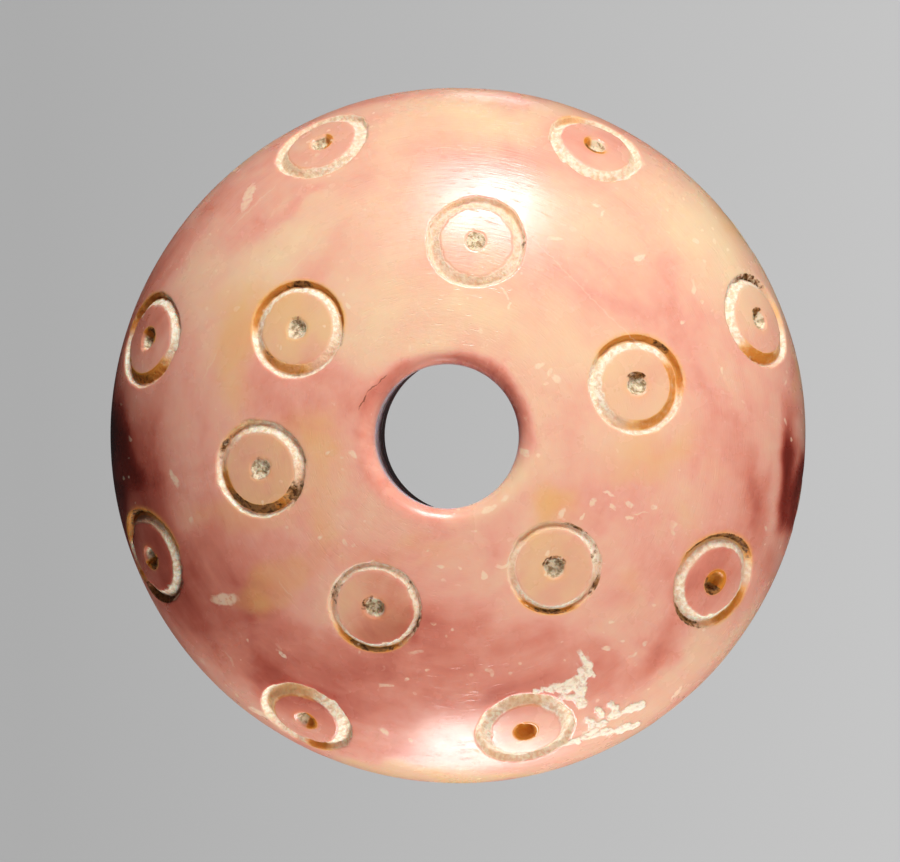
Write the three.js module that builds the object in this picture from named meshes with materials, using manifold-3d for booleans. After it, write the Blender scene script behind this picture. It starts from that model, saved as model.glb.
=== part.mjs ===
// Spindle whorl of turned bone: one solid, a domed disc on a flat base with a tapered bore for the
// spindle. Three rows of ring-and-dot marks are cut into it: six marks round the bore, eight on the
// shoulder and eight on the belly, staggered row against row and laid out by eye.
// Millimetres, +Z up, origin on the whorl's axis in the plane of the flat base.
import * as THREE from 'three';
import { mergeVertices } from 'three/addons/utils/BufferGeometryUtils.js';
import Module from 'manifold-3d';

// ---- driving dimensions ----
const BELLY_RADIUS = 15.0;      // widest circle
const BELLY_HEIGHT = 4.4;       // height of the widest circle over the base
const DOME_RISE = 8.95;         // rise of the dome's ellipse over the widest circle, taken to the axis
const SEAT_RADIUS = 10.2;       // edge of the flat base, where the turned-in lower edge begins
const BORE_TOP_RADIUS = 3.0;    // the bore is narrower at the top, so that it wedges on the spindle
const BORE_BASE_RADIUS = 3.4;
const TOP_MOUTH_ROUND = 0.65;   // worn round of the upper mouth
const BASE_MOUTH_ROUND = 0.4;   // lighter round of the lower mouth

const RING_RADIUS = 1.83;       // middle of the ring groove
const GROOVE_RADIUS = 0.29;     // round tip of the scribing tooth
const GROOVE_LIFT = 0.05;       // how far the tooth's centre stays over the surface
const PIT_RADIUS = 0.5;         // the dot: the hole left by the tool's centre point
const PIT_DEPTH = 0.55;

// Each mark's angle round the axis (degrees from +X) and its distance from the axis (mm)
const INNER_ROW = [[15.2, 8.2], [81.8, 8.25], [144.6, 7.75], [189.9, 8.0], [246.9, 7.8], [309.2, 7.1]];
const SHOULDER_ROW = [
  [20.7, 13.95], [63.7, 13.8], [114.3, 13.7], [162.5, 13.65],
  [201.8, 13.95], [242.5, 13.65], [284.1, 12.9], [331.1, 12.75],
];
// The belly row is placed by its angle and how far it sits below the widest circle (mm)
const BELLY_ROW = [
  [36.2, 1.5], [87.5, 1.5], [139, 1.6], [182, 1.6], [222, 1.7], [263, 1.8], [309, 1.6], [349.7, 1.5],
];

const TURN_STEPS = 52;          // facets round the body
const RING_STEPS = 16;          // facets round each ring groove

const wasm = await Module();
wasm.setup();

// ---- the body's outline ----
const EDGE_TURN = BELLY_RADIUS - SEAT_RADIUS;   // width of the rounded lower edge

// Below zero inside the outer surface and above zero outside it
function outside(point) {
  const radius = Math.hypot(point.x, point.y);
  const rise = point.z - BELLY_HEIGHT;
  if (rise >= 0) return (radius / BELLY_RADIUS) ** 2 + (rise / DOME_RISE) ** 2 - 1;
  const across = Math.max(radius - SEAT_RADIUS, 0) / EDGE_TURN;
  return across ** 2 + (rise / BELLY_HEIGHT) ** 2 - 1;
}

// Outward direction of the surface at a point on or near it
function outward(point) {
  const step = 1e-4;
  const slope = ['x', 'y', 'z'].map((axis) => {
    const ahead = point.clone();
    const behind = point.clone();
    ahead[axis] += step;
    behind[axis] -= step;
    return outside(ahead) - outside(behind);
  });
  return new THREE.Vector3(...slope).normalize();
}

function bodyOutline() {
  const outline = [];
  const corner = (x, y) => outline.push(new THREE.Vector2(x, y));
  // bore wall and lower mouth, then the flat base and its turned-in edge
  for (let i = 0; i <= 2; i++) {
    const a = (i / 2) * Math.PI / 2;
    corner(BORE_BASE_RADIUS + BASE_MOUTH_ROUND * (1 - Math.cos(a)), BASE_MOUTH_ROUND * (1 - Math.sin(a)));
  }
  for (let i = 0; i < 6; i++) {
    const a = (i / 6) * Math.PI / 2;
    corner(SEAT_RADIUS + EDGE_TURN * Math.sin(a), BELLY_HEIGHT * (1 - Math.cos(a)));
  }
  // the dome up to the worn mouth
  const lip = BORE_TOP_RADIUS + TOP_MOUTH_ROUND;
  const lipAngle = Math.acos(lip / BELLY_RADIUS);
  for (let i = 0; i <= 12; i++) {
    const a = (i / 12) * lipAngle;
    corner(BELLY_RADIUS * Math.cos(a), BELLY_HEIGHT + DOME_RISE * Math.sin(a));
  }
  const lipHeight = BELLY_HEIGHT + DOME_RISE * Math.sin(lipAngle);
  for (let i = 1; i <= 3; i++) {
    const a = (i / 3) * Math.PI / 2;
    corner(lip - TOP_MOUTH_ROUND * Math.sin(a), lipHeight - TOP_MOUTH_ROUND * (1 - Math.cos(a)));
  }
  outline.push(outline[0].clone());
  return outline;
}

// ---- closed geometries to solids and back ----
function toSolid(geometry) {
  const bare = geometry.clone();
  bare.deleteAttribute('normal');
  bare.deleteAttribute('uv');
  const merged = mergeVertices(bare, 1e-5);
  return new wasm.Manifold(new wasm.Mesh({
    numProp: 3,
    vertProperties: new Float32Array(merged.attributes.position.array),
    triVerts: new Uint32Array(merged.index.array),
  }));
}

function toGeometry(solid) {
  const mesh = solid.getMesh();
  const geometry = new THREE.BufferGeometry();
  geometry.setAttribute('position', new THREE.BufferAttribute(mesh.vertProperties, 3));
  geometry.setIndex(new THREE.BufferAttribute(mesh.triVerts, 1));
  geometry.computeVertexNormals();
  return geometry;
}

// A Y-up geometry, as LatheGeometry makes it, stood up along +Z
const stood = (geometry) => geometry.rotateX(Math.PI / 2);

// ---- one ring-and-dot mark ----
// The path of the scribing tooth: a circle round the centre point, dropped onto the curved surface
class ToothPath extends THREE.Curve {
  constructor(centre) {
    super();
    this.centre = centre;
    this.normal = outward(centre);
    this.along = new THREE.Vector3(-centre.y, centre.x, 0).normalize();
    this.across = this.normal.clone().cross(this.along);
  }

  getPoint(t) {
    const a = t * Math.PI * 2;
    const start = this.centre.clone()
      .addScaledVector(this.along, RING_RADIUS * Math.cos(a))
      .addScaledVector(this.across, RING_RADIUS * Math.sin(a));
    let above = -0.5;
    let below = 2.5;
    for (let i = 0; i < 40; i++) {
      const drop = (above + below) / 2;
      if (outside(start.clone().addScaledVector(this.normal, -drop)) > 0) above = drop;
      else below = drop;
    }
    const touch = start.addScaledVector(this.normal, -below);
    return touch.addScaledVector(outward(touch), GROOVE_LIFT);
  }
}

function ringAndDot(centre) {
  const path = new ToothPath(centre);
  const groove = toSolid(new THREE.TubeGeometry(path, RING_STEPS, GROOVE_RADIUS, 5, true));
  const pit = stood(new THREE.LatheGeometry([
    new THREE.Vector2(0, -PIT_DEPTH),
    new THREE.Vector2(PIT_RADIUS * 0.6, -PIT_DEPTH * 0.8),
    new THREE.Vector2(PIT_RADIUS, 0),
    new THREE.Vector2(PIT_RADIUS, 0.4),
    new THREE.Vector2(0, 0.4),
  ], 8));
  const upright = new THREE.Quaternion()
    .setFromUnitVectors(new THREE.Vector3(0, 0, 1), path.normal);
  pit.applyQuaternion(upright).translate(centre.x, centre.y, centre.z);
  return groove.add(toSolid(pit));
}

function at(degrees, radius, height) {
  const a = THREE.MathUtils.degToRad(degrees);
  return new THREE.Vector3(radius * Math.cos(a), radius * Math.sin(a), height);
}

const onDome = ([degrees, radius]) =>
  at(degrees, radius, BELLY_HEIGHT + DOME_RISE * Math.sqrt(1 - (radius / BELLY_RADIUS) ** 2));
const onBelly = ([degrees, drop]) =>
  at(degrees, SEAT_RADIUS + EDGE_TURN * Math.sqrt(1 - (drop / BELLY_HEIGHT) ** 2), BELLY_HEIGHT - drop);

// ---- the whorl ----
let body = toSolid(stood(new THREE.LatheGeometry(bodyOutline(), TURN_STEPS)));
for (const centre of [...INNER_ROW.map(onDome), ...SHOULDER_ROW.map(onDome), ...BELLY_ROW.map(onBelly)]) {
  body = body.subtract(ringAndDot(centre));
}

const bone = new THREE.MeshStandardMaterial({ color: 0xc98a72, roughness: 0.3, metalness: 0.0 });
const whorl = new THREE.Mesh(toGeometry(body), bone);
whorl.name = 'whorl';

const spindleWhorl = new THREE.Group();
spindleWhorl.add(whorl);

export default spindleWhorl;
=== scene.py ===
import math

import bpy
import numpy as np
from mathutils import Euler, Matrix, Vector, noise
from mathutils.geometry import delaunay_2d_cdt


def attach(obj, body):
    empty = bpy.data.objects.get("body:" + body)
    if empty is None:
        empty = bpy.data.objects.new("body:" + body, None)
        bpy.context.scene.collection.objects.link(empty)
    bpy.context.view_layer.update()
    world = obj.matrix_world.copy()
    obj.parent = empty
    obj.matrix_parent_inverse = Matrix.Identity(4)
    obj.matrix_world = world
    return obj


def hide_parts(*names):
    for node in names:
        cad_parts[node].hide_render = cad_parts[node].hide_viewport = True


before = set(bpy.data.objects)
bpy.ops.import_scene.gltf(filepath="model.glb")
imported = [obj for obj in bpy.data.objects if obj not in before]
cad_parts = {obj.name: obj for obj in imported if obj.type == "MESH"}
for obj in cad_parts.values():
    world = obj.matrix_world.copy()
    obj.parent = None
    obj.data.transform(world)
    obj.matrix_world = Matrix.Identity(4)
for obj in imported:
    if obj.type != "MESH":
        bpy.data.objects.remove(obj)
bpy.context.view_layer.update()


# ---- The camera ----
# A long lens almost straight over the whorl, leaning three degrees towards +X from the bore's axis, so that
# a thin slice of the bore's wall shows on one side.
camera = bpy.data.objects.new("camera", bpy.data.cameras.new("camera"))
camera.data.sensor_width = 36.0
camera.data.lens = 222.5
camera.data.clip_start, camera.data.clip_end = 0.01, 20.0
aim, distance = Vector((-0.0002, 0.0002, 0.0065)), 0.238
lean = Euler((math.radians(-0.27), math.radians(3.13), 0.0)).to_matrix()
camera.matrix_world = Matrix.Translation(aim + lean @ Vector((0, 0, distance))) @ lean.to_4x4()
bpy.context.scene.collection.objects.link(camera)
bpy.context.scene.camera = camera


# ---- The turned body of the whorl ----
# One solid of bone, turned between centres to a domed disc with a flat base, then reamed through for the
# spindle. The bore is tighter at the top, and handling has worn its upper mouth round.
belly_radius, belly_height, dome_rise = 0.015, 0.0044, 0.00895
seat_radius = 0.0102
bore_top, bore_base = 0.003, 0.0034
top_mouth, base_mouth = 0.00065, 0.0004


def turned_outline():
    """The outline from the upper end of the bore's wall, over the dome and under the base, to its lower end,
    and then up the wall: radius, height, length along it, and where the wall begins."""
    lip = bore_top + top_mouth
    lip_angle = math.acos(lip / belly_radius)
    lip_height = belly_height + dome_rise * math.sin(lip_angle)
    radius, height = [], []
    for a in np.linspace(math.pi / 2, 0, 60):
        radius.append(lip - top_mouth * math.sin(a))
        height.append(lip_height - top_mouth * (1 - math.cos(a)))
    for a in np.linspace(lip_angle, 0, 900)[1:]:
        radius.append(belly_radius * math.cos(a))
        height.append(belly_height + dome_rise * math.sin(a))
    for a in np.linspace(math.pi / 2, 0, 400)[1:]:
        radius.append(seat_radius + (belly_radius - seat_radius) * math.sin(a))
        height.append(belly_height * (1 - math.cos(a)))
    for r in np.linspace(seat_radius, bore_base + base_mouth, 200)[1:]:
        radius.append(r)
        height.append(0.0)
    for a in np.linspace(math.pi / 2, 0, 40)[1:]:
        radius.append(bore_base + base_mouth * (1 - math.cos(a)))
        height.append(base_mouth * (1 - math.sin(a)))
    wall_starts = len(radius) - 1
    for t in np.linspace(0, 1, 200)[1:]:
        radius.append(bore_base + (bore_top - bore_base) * t)
        height.append(base_mouth + (height[0] - base_mouth) * t)
    radius, height = np.array(radius), np.array(height)
    length = np.concatenate([[0], np.cumsum(np.hypot(np.diff(radius), np.diff(height)))])
    return radius, height, length, wall_starts


out_r, out_z, out_s, wall_starts = turned_outline()
lean_r = np.gradient(out_r, out_s)
lean_z = np.gradient(out_z, out_s)
# the surface unrolled without distortion of angles, so that its triangles come out well shaped
unrolled = np.concatenate([[0], np.cumsum(np.diff(out_s) * 2 / (out_r[1:] + out_r[:-1]))])
wall_s = out_s[wall_starts]


def on_body(s, turn):
    """Points on the turned surface at a length along the outline and an angle round the axis."""
    r = np.interp(s, out_s, out_r)
    return np.stack([r * np.cos(turn), r * np.sin(turn), np.interp(s, out_s, out_z)], -1)


def outward(s, turn):
    """The surface's outward direction at the same place."""
    r, z = -np.interp(s, out_s, lean_z), np.interp(s, out_s, lean_r)
    size = np.hypot(r, z)
    return np.stack([r / size * np.cos(turn), r / size * np.sin(turn), z / size], -1)


def outside(points):
    """Below zero within the dome and belly, above zero beyond them."""
    radius = np.hypot(points[..., 0], points[..., 1])
    rise = points[..., 2] - belly_height
    over = (radius / belly_radius) ** 2 + (rise / dome_rise) ** 2 - 1
    across = np.maximum(radius - seat_radius, 0) / (belly_radius - seat_radius)
    under = across**2 + (rise / belly_height) ** 2 - 1
    return np.where(rise >= 0, over, under)


# ---- Where the ring-and-dot marks sit ----
# The carver set a compass bit by eye: six marks round the bore, eight on the shoulder and eight on the belly.
# Each has its angle, its distance from the axis (mm; on the belly, how far it sits under the widest circle),
# how wide its groove is cut, how far dirt fills its dot, and how tan its centre is. Its tones follow: the
# tone, the side of the groove or the dot, from which hour to which (12 is +Y, 3 is +X), and how strong. The
# tones are stain and painted light together: amber and dirt also paint the shade on walls and dot sides
# turned away from the soft box, and pale paints the light on the walls that face it.
ring_radius, groove_width = 0.00180, 0.00060
inner_row = [
    (15.2, 8.2, 1.0, 0.65, 0.35, [("amber", "out", 9.8, 15.6, 0.95), ("dirt", "out", 12.6, 13.4, 0.9),
     ("amber", "in", 13.3, 18.6, 0.75), ("pale", "all", 7.0, 14.3, 1.0), ("pale", "out", 14.6, 19, 0.9),
     ("dirt", "dot", 10, 14, 0.85)]),
    (81.8, 8.25, 0.95, 0.95, 0.2, [("dirt", "out", 20.6, 22.2, 0.42), ("amber", "out", 22, 23.6, 0.35),
     ("dirt", "out", 14.7, 15.3, 0.5), ("pale", "all", 12, 24, 0.55), ("amber", "out", 12.5, 14.6, 0.4),
     ("dirt", "out", 23, 24.6, 0.3), ("amber", "dot", 12, 24, 0.16)]),
    (144.6, 7.75, 0.9, 0.75, 0.75, [("amber", "out", 8.8, 15.4, 1.0), ("dirt", "out", 11.3, 12.9, 1.0),
     ("pale", "all", 7.3, 16, 1.0), ("amber", "in", 17, 20.4, 0.7), ("dirt", "in", 19, 20, 0.55),
     ("pale", "out", 16, 20, 0.9), ("dirt", "dot", 10.4, 13.4, 0.6)]),
    (189.9, 8.0, 0.9, 0.85, 0.75, [("amber", "in", 16.2, 21.3, 1.0), ("dirt", "in", 16.6, 20.2, 1.0),
     ("dirt", "all", 15.4, 16.9, 0.9), ("pale", "out", 16.9, 21.6, 1.0), ("pale", "all", 10.6, 15.2, 0.85),
     ("dirt", "out", 21.4, 22.6, 0.8), ("amber", "out", 21.5, 24.4, 0.5), ("dirt", "dot", 10.6, 13, 0.5)]),
    (246.9, 7.8, 0.62, 0.5, 0.6, [("amber", "out", 16.4, 20.5, 0.9), ("dirt", "out", 17, 19.7, 1.0),
     ("pale", "in", 15.6, 20.8, 1.0), ("dirt", "all", 20.8, 22.4, 0.62), ("pale", "all", 21.5, 28, 0.7),
     ("dirt", "all", 13.4, 14.4, 0.55), ("dirt", "out", 15.2, 16.2, 0.8), ("dirt", "dot", 8.2, 12.4, 0.7)]),
    (309.2, 7.1, 0.66, 0.5, 0.6, [("dirt", "out", 12.2, 13.6, 0.95), ("dirt", "out", 15.3, 16.2, 1.0),
     ("amber", "out", 16.6, 20, 0.9), ("dirt", "out", 17, 19.6, 0.85), ("pale", "in", 16.5, 20.6, 1.0),
     ("dirt", "all", 13.4, 15.3, 0.55), ("pale", "all", 12.6, 15.6, 0.8), ("amber", "in", 22.2, 23.4, 0.35),
     ("pale", "all", 20.5, 22.5, 0.5), ("dirt", "dot", 9, 14.4, 0.7)]),
]
shoulder_row = [
    (20.7, 13.95, 1.0, 0.6, 0.15, [("dirt", "out", 22.6, 24.6, 0.8), ("pale", "all", 18.5, 24, 0.95),
     ("amber", "in", 16.6, 19.3, 0.9), ("pale", "out", 15.8, 17.2, 1.0), ("amber", "out", 13, 15.5, 0.5),
     ("dirt", "dot", 10, 12.6, 0.9)]),
    (63.7, 13.8, 1.0, 0.5, 0.0, [("pale", "all", 12, 24, 0.85), ("amber", "in", 12.5, 17, 0.25),
     ("amber", "out", 21.8, 23.3, 0.6), ("amber", "dot", 16, 23, 0.9), ("dirt", "dot", 17.5, 21.6, 0.9)]),
    (114.3, 13.7, 1.0, 0.5, 0.1, [("pale", "all", 12, 24, 0.8), ("amber", "out", 20.3, 22.5, 0.25),
     ("amber", "in", 18, 21, 0.3), ("amber", "dot", 12.6, 17.5, 0.85)]),
    (162.5, 13.65, 1.0, 0.25, 0.05, [("pale", "all", 10.4, 16.4, 1.0), ("amber", "out", 9.6, 13, 0.9),
     ("pale", "out", 18.5, 21.6, 1.0), ("dirt", "in", 17, 19.4, 0.55), ("amber", "in", 16.3, 20.4, 1.0),
     ("amber", "dot", 10.5, 16, 1.0), ("dirt", "dot", 11.5, 15, 0.8)]),
    (201.8, 13.95, 1.0, 0.25, 0.0, [("amber", "out", 9.8, 15, 1.0), ("dirt", "out", 10.4, 14.2, 0.8),
     ("pale", "in", 12.4, 17.6, 1.0), ("dirt", "out", 16.8, 18.9, 1.0), ("pale", "out", 20.5, 23.7, 0.8),
     ("amber", "dot", 14, 20, 0.9), ("dirt", "dot", 14.5, 18.6, 0.9), ("amber", "out", 18.8, 19.8, 0.8)]),
    (242.5, 13.65, 1.1, 0.3, 0.05, [("pale", "all", 12, 24, 0.95), ("amber", "in", 20.6, 25.2, 0.55),
     ("amber", "out", 16.6, 18.2, 1.0), ("amber", "dot", 12.2, 18, 1.0), ("dirt", "dot", 14, 15.4, 0.5)]),
    (284.1, 12.9, 1.1, 0.1, 0.0, [("pale", "all", 12, 24, 0.9), ("amber", "in", 22.3, 25.5, 0.35),
     ("amber", "out", 18.6, 20.6, 0.3), ("amber", "dot", 12, 24, 1.0), ("dirt", "out", 13.6, 14.2, 0.45)]),
    (331.1, 12.75, 1.05, 0.05, 0.0, [("amber", "out", 21.6, 26.4, 0.9), ("dirt", "out", 22.2, 26.2, 0.95),
     ("pale", "in", 21.6, 26.6, 0.8),
     ("pale", "in", 14.5, 22, 1.0), ("pale", "out", 13, 15.2, 0.9), ("dirt", "out", 18.2, 20.6, 1.0),
     ("amber", "out", 15.2, 18.6, 0.8), ("amber", "dot", 12, 24, 1.0), ("dirt", "dot", 16.5, 22.6, 1.0),
     ("pale", "dot", 12.4, 14.6, 1.0)]),
]
belly_row = [
    (36.2, 1.5, 1.0, 0.5, 0.1, [("amber", "out", 9, 15, 0.7), ("pale", "all", 12, 24, 0.7)]),
    (87.5, 1.5, 1.0, 0.5, 0.1, [("amber", "out", 9, 14, 0.8), ("pale", "all", 12, 24, 0.8)]),
    (139.0, 1.6, 1.0, 0.4, 0.2, [("dirt", "in", 8, 11, 0.7), ("pale", "all", 12, 24, 0.8)]),
    (182.0, 1.6, 1.0, 0.3, 0.1, [("dirt", "out", 6, 10, 0.6), ("pale", "all", 12, 24, 0.7)]),
    (222.0, 1.7, 1.0, 0.6, 0.2, [("dirt", "in", 5, 9, 0.7), ("pale", "all", 12, 24, 0.8)]),
    (263.0, 1.8, 1.0, 0.2, 0.0, [("amber", "out", 4, 8, 0.7), ("pale", "all", 12, 24, 0.8)]),
    (309.0, 1.6, 1.0, 0.5, 0.1, [("amber", "in", 2, 6, 0.7), ("pale", "all", 12, 24, 0.8)]),
    (349.7, 1.5, 1.0, 0.4, 0.1, [("dirt", "all", 12, 24, 0.6), ("pale", "in", 12, 24, 0.7)]),
]
patch_edge = 0.00256  # the round of fine facets each mark is carved in
patch_steps = np.concatenate([
    np.linspace(0, 0.00070, 10), np.linspace(0.00088, 0.00128, 4), np.linspace(0.00138, 0.00226, 18),
    [0.00240, patch_edge],
])


def along_outline(z):
    """The length along the outline at which the dome and belly pass a height."""
    falling = slice(int(np.argmax(out_z)), int(np.argmin(out_z)) + 1)
    return np.interp(-z, -out_z[falling], out_s[falling])


def lay_mark(number, centre, spokes, steps):
    """A round of points on the surface about a mark's centre, dropped along the compass bit's axis."""
    turn = math.atan2(centre[1], centre[0])
    up = outward(along_outline(centre[2]), turn)
    along = np.array([-math.sin(turn), math.cos(turn), 0.0])
    across = np.cross(up, along)
    angle = np.arange(spokes) * 2 * math.pi / spokes
    at = [np.zeros((1, 2))] + [
        np.stack([step * np.cos(angle), step * np.sin(angle)], -1) for step in steps[1:]
    ]
    at = np.concatenate(at)
    flat = centre + at[:, :1] * along + at[:, 1:] * across
    low, high = np.full(len(at), -0.0003), np.full(len(at), 0.0028)
    for _ in range(44):
        middle = (low + high) / 2
        beyond = outside(flat - middle[:, None] * up) > 0
        low, high = np.where(beyond, middle, low), np.where(beyond, high, middle)
    points = flat - high[:, None] * up
    sector = [[0, 1 + i, 1 + (i + 1) % spokes] for i in range(spokes)]
    for ring in range(len(steps) - 2):
        a, b = 1 + ring * spokes, 1 + (ring + 1) * spokes
        sector += [[a + i, b + i, b + (i + 1) % spokes, a + (i + 1) % spokes] for i in range(spokes)]
    return {"number": number, "centre": centre, "up": up, "at": at, "points": points, "faces": sector,
            "rim": list(range(len(at) - spokes, len(at)))}


marks = []
rows_of_marks = (("inner", inner_row, 96), ("shoulder", shoulder_row, 96), ("belly", belly_row, 72))
for row, table, spokes in rows_of_marks:
    for degrees, out_by, width, fill, tan, stains in table:
        if row == "belly":
            drop = out_by / 1000
            r = seat_radius + (belly_radius - seat_radius) * math.sqrt(1 - (drop / belly_height) ** 2)
            z = belly_height - drop
        else:
            r = out_by / 1000
            z = belly_height + dome_rise * math.sqrt(1 - (r / belly_radius) ** 2)
        a = math.radians(degrees)
        # the belly's marks are seen least, and take half the facets
        steps = patch_steps if row != "belly" else np.concatenate([patch_steps[:-2:2], patch_steps[-2:]])
        mark = lay_mark(len(marks), np.array([r * math.cos(a), r * math.sin(a), z]), spokes, steps)
        mark.update(width=width, fill=fill, tan=tan, stains=stains)
        marks.append(mark)


# ---- The body's mesh ----
# The same solid of bone, laid out in facets. They follow the turning, row by row, and close in round the
# marks and under the lime crust, where the surface has most to show.
crust_centre, crust_reach = np.array([0.0064, -0.0118]), 0.0031
wall_spokes = 96  # points round the bore's wall
far_off = 0.01  # where a point belongs to no mark, its distance from one


def facet_size(s):
    """Fine at the upper mouth, coarser over the dome, coarsest under the base."""
    at = [0, 0.001, 0.004, 0.0225, 0.0262, 0.033]
    return np.interp(s, at, [0.0002, 0.0002, 0.00027, 0.00029, 0.00045, 0.0003])


def clear_of_marks(place, margin):
    """True for the points that lie outside every mark's round of fine facets."""
    clear = np.ones(len(place), bool)
    for mark in marks:
        away = place - mark["centre"]
        over = away @ mark["up"]
        beside = np.linalg.norm(away - over[:, None] * mark["up"], axis=1)
        clear &= (beside > patch_edge + margin) | (over < -0.003)
    return clear


def lay_rows():
    """Rows of points round the body, each shifted half a facet from the one before: length and angle."""
    s, rows = 0.0, []
    while s < wall_s:
        rows.append(s)
        s += 0.866 * float(facet_size(s))
    rows = np.array(rows) * wall_s / rows[-1] if wall_s - rows[-1] < 0.0001 else np.array(rows + [wall_s])
    lengths, turns = [], []
    for i, s in enumerate(rows):
        at_end = i in (0, len(rows) - 1)
        fits = round(2 * math.pi * np.interp(s, out_s, out_r) / float(facet_size(s)))
        around = wall_spokes if at_end else max(wall_spokes, fits)
        shift = 0 if at_end else 0.5 * (i % 2)
        lengths.append(np.full(around, s))
        turns.append((np.arange(around) + shift) * 2 * math.pi / around)
    return lengths, turns


row_s, row_turn = lay_rows()
first, last = len(row_s[0]), len(row_s[-1])
s_all, turn_all = np.concatenate(row_s), np.concatenate(row_turn)
place = on_body(s_all, turn_all)
keep = clear_of_marks(place, 0.5 * facet_size(s_all))
under_crust = np.hypot(*(place[:, :2] - crust_centre).T) < crust_reach
under_crust &= (place[:, 2] > belly_height - 0.001)
keep &= ~under_crust
keep[:first] = keep[-last:] = True

# finer rows where the crust lies
fine = 0.00011
fine_s = np.arange(along_outline(0.0104), along_outline(0.0034), fine * 0.866)
fine_points = []
for i, s in enumerate(fine_s):
    r = float(np.interp(s, out_s, out_r))
    turns = np.arange(-1.75, -0.35, fine / r) + (i % 2) * fine / r / 2
    fine_points.append(np.stack([np.full(len(turns), s), turns], -1))
fine_points = np.concatenate(fine_points)
fine_place = on_body(fine_points[:, 0], fine_points[:, 1])
near = np.hypot(*(fine_place[:, :2] - crust_centre).T) < crust_reach - 0.0001
near &= clear_of_marks(fine_place, 0.00009)
fine_points = fine_points[near]

s_flat = np.concatenate([s_all[keep], fine_points[:, 0]])
turn_flat = np.concatenate([turn_all[keep], fine_points[:, 1]])
shell = on_body(s_flat, turn_flat)
top_loop = list(range(first))
base_loop = list(range(int(keep.sum()) - last, int(keep.sum())))

# every point of the whorl: the shell's, each mark's, then the wall's
points, facets = [shell], []
length_of = [s_flat]
turn_of = [turn_flat]
mark_at, mark_cut = [np.zeros((len(shell), 3))], [np.zeros((len(shell), 3))]
mark_at[0][:, 0] = far_off
mark_number = [np.full(len(shell), -1.0)]
edges = [(a, b) for loop in (top_loop, base_loop) for a, b in zip(loop, loop[1:] + loop[:1])]
start, rim_ids = len(shell), []
for mark in marks:
    here = mark["points"]
    points.append(here)
    length_of.append(along_outline(here[:, 2]))
    turn_of.append(np.arctan2(here[:, 1], here[:, 0]))
    mark_at.append(np.column_stack([mark["at"], np.zeros(len(here))]))
    mark_cut.append(np.tile([mark["width"], mark["fill"], mark["tan"]], (len(here), 1)))
    mark_number.append(np.full(len(here), float(mark["number"])))
    facets += [[start + i for i in face] for face in mark["faces"]]
    rim_ids.append([start + i for i in mark["rim"]])
    start += len(here)
length_of, turn_of = np.concatenate(length_of), np.concatenate(turn_of)

ids = np.concatenate([np.arange(len(shell))] + [np.array(rim) for rim in rim_ids])
spread = np.exp(np.interp(length_of[ids], out_s, unrolled))
plane = np.stack([spread * np.cos(turn_of[ids]), spread * np.sin(turn_of[ids])], -1)
at_plane = len(shell)
# which closed loop a point is on, so that no facet spans the loop
group = np.full(len(ids), -1)
group[:first] = len(marks)
for number, rim in enumerate(rim_ids):
    loop = list(range(at_plane, at_plane + len(rim)))
    edges += list(zip(loop, loop[1:] + loop[:1]))
    group[at_plane:at_plane + len(rim)] = number
    at_plane += len(rim)
cut = delaunay_2d_cdt([Vector(p) for p in plane.tolist()], edges, [], 0, 1e-7, True)
source = [old[0] for old in cut[3]]
for face in cut[2]:
    a, b, c = (source[i] for i in face)
    if group[a] >= 0 and group[a] == group[b] == group[c]:
        continue
    (ax, ay), (bx, by), (cx, cy) = plane[a], plane[b], plane[c]
    if (bx - ax) * (cy - ay) - (by - ay) * (cx - ax) < 0:
        b, c = c, b
    facets.append([int(ids[a]), int(ids[b]), int(ids[c])])

# the bore's wall, from the lower mouth up to the upper one
wall_rows = np.linspace(wall_s, out_s[-1], 40)
rings = [base_loop]
around = np.arange(wall_spokes) * 2 * math.pi / wall_spokes
for s in wall_rows[1:-1]:
    rings.append(list(range(start, start + wall_spokes)))
    points.append(on_body(np.full(wall_spokes, s), around))
    mark_at.append(np.tile([far_off, 0, 0], (wall_spokes, 1)))
    mark_cut.append(np.zeros((wall_spokes, 3)))
    mark_number.append(np.full(wall_spokes, -1.0))
    length_of = np.concatenate([length_of, np.full(wall_spokes, s)])
    start += wall_spokes
rings.append(top_loop)
for low, high in zip(rings, rings[1:]):
    for i in range(wall_spokes):
        j = (i + 1) % wall_spokes
        facets.append([low[i], high[i], high[j], low[j]])

points = np.concatenate(points)
mark_at, mark_cut, mark_number = (np.concatenate(x) for x in (mark_at, mark_cut, mark_number))
blank = bpy.data.meshes.new("whorl_blank")
blank.from_pydata(points.tolist(), [], facets)
blank.polygons.foreach_set("use_smooth", [True] * len(blank.polygons))


# ---- Stains, streaks, painted light and shade, and crust on the bone ----
# In the ground the bone took a red stain unevenly: cream where it is densest, rose and brick red elsewhere,
# in soft streaks. The darkest streaks, at the widest circle on either side, are dark stain and painted shade
# together, and the cream along the near edge is partly a painted glow. Dirt and brown stain stayed in parts
# of the grooves, whose walls also carry painted shade where they turn from the soft box and painted light
# where they face it, and a thin chalky crust of lime lies on one shoulder.
def ease(value, low, high):
    """Nothing below low, everything above high, smooth between."""
    t = np.clip((value - low) / (high - low), 0, 1)
    return t * t * (3 - 2 * t)


def within(hour, begins, ends):
    """How far hours of the clock lie between two others, with soft ends."""
    half = (ends - begins) / 2
    off = np.abs((hour - begins - half + 6) % 12 - 6)
    return np.ones(len(hour)) if half >= 6 else 1 - ease(off, half - min(1.0, half), half + 0.5)


def wobble(scale, octaves):
    """A wandering direction at every point."""
    return np.array([noise.turbulence_vector(Vector(p), octaves, False) for p in (points * scale).tolist()])


# the marks' tones: stain, earth and clean cut bone, with painted shade and painted light laid on by the hour
tones = {name: np.zeros(len(points)) for name in ("pale", "amber", "dirt")}
beside = np.hypot(mark_at[:, 0], mark_at[:, 1])
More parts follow.
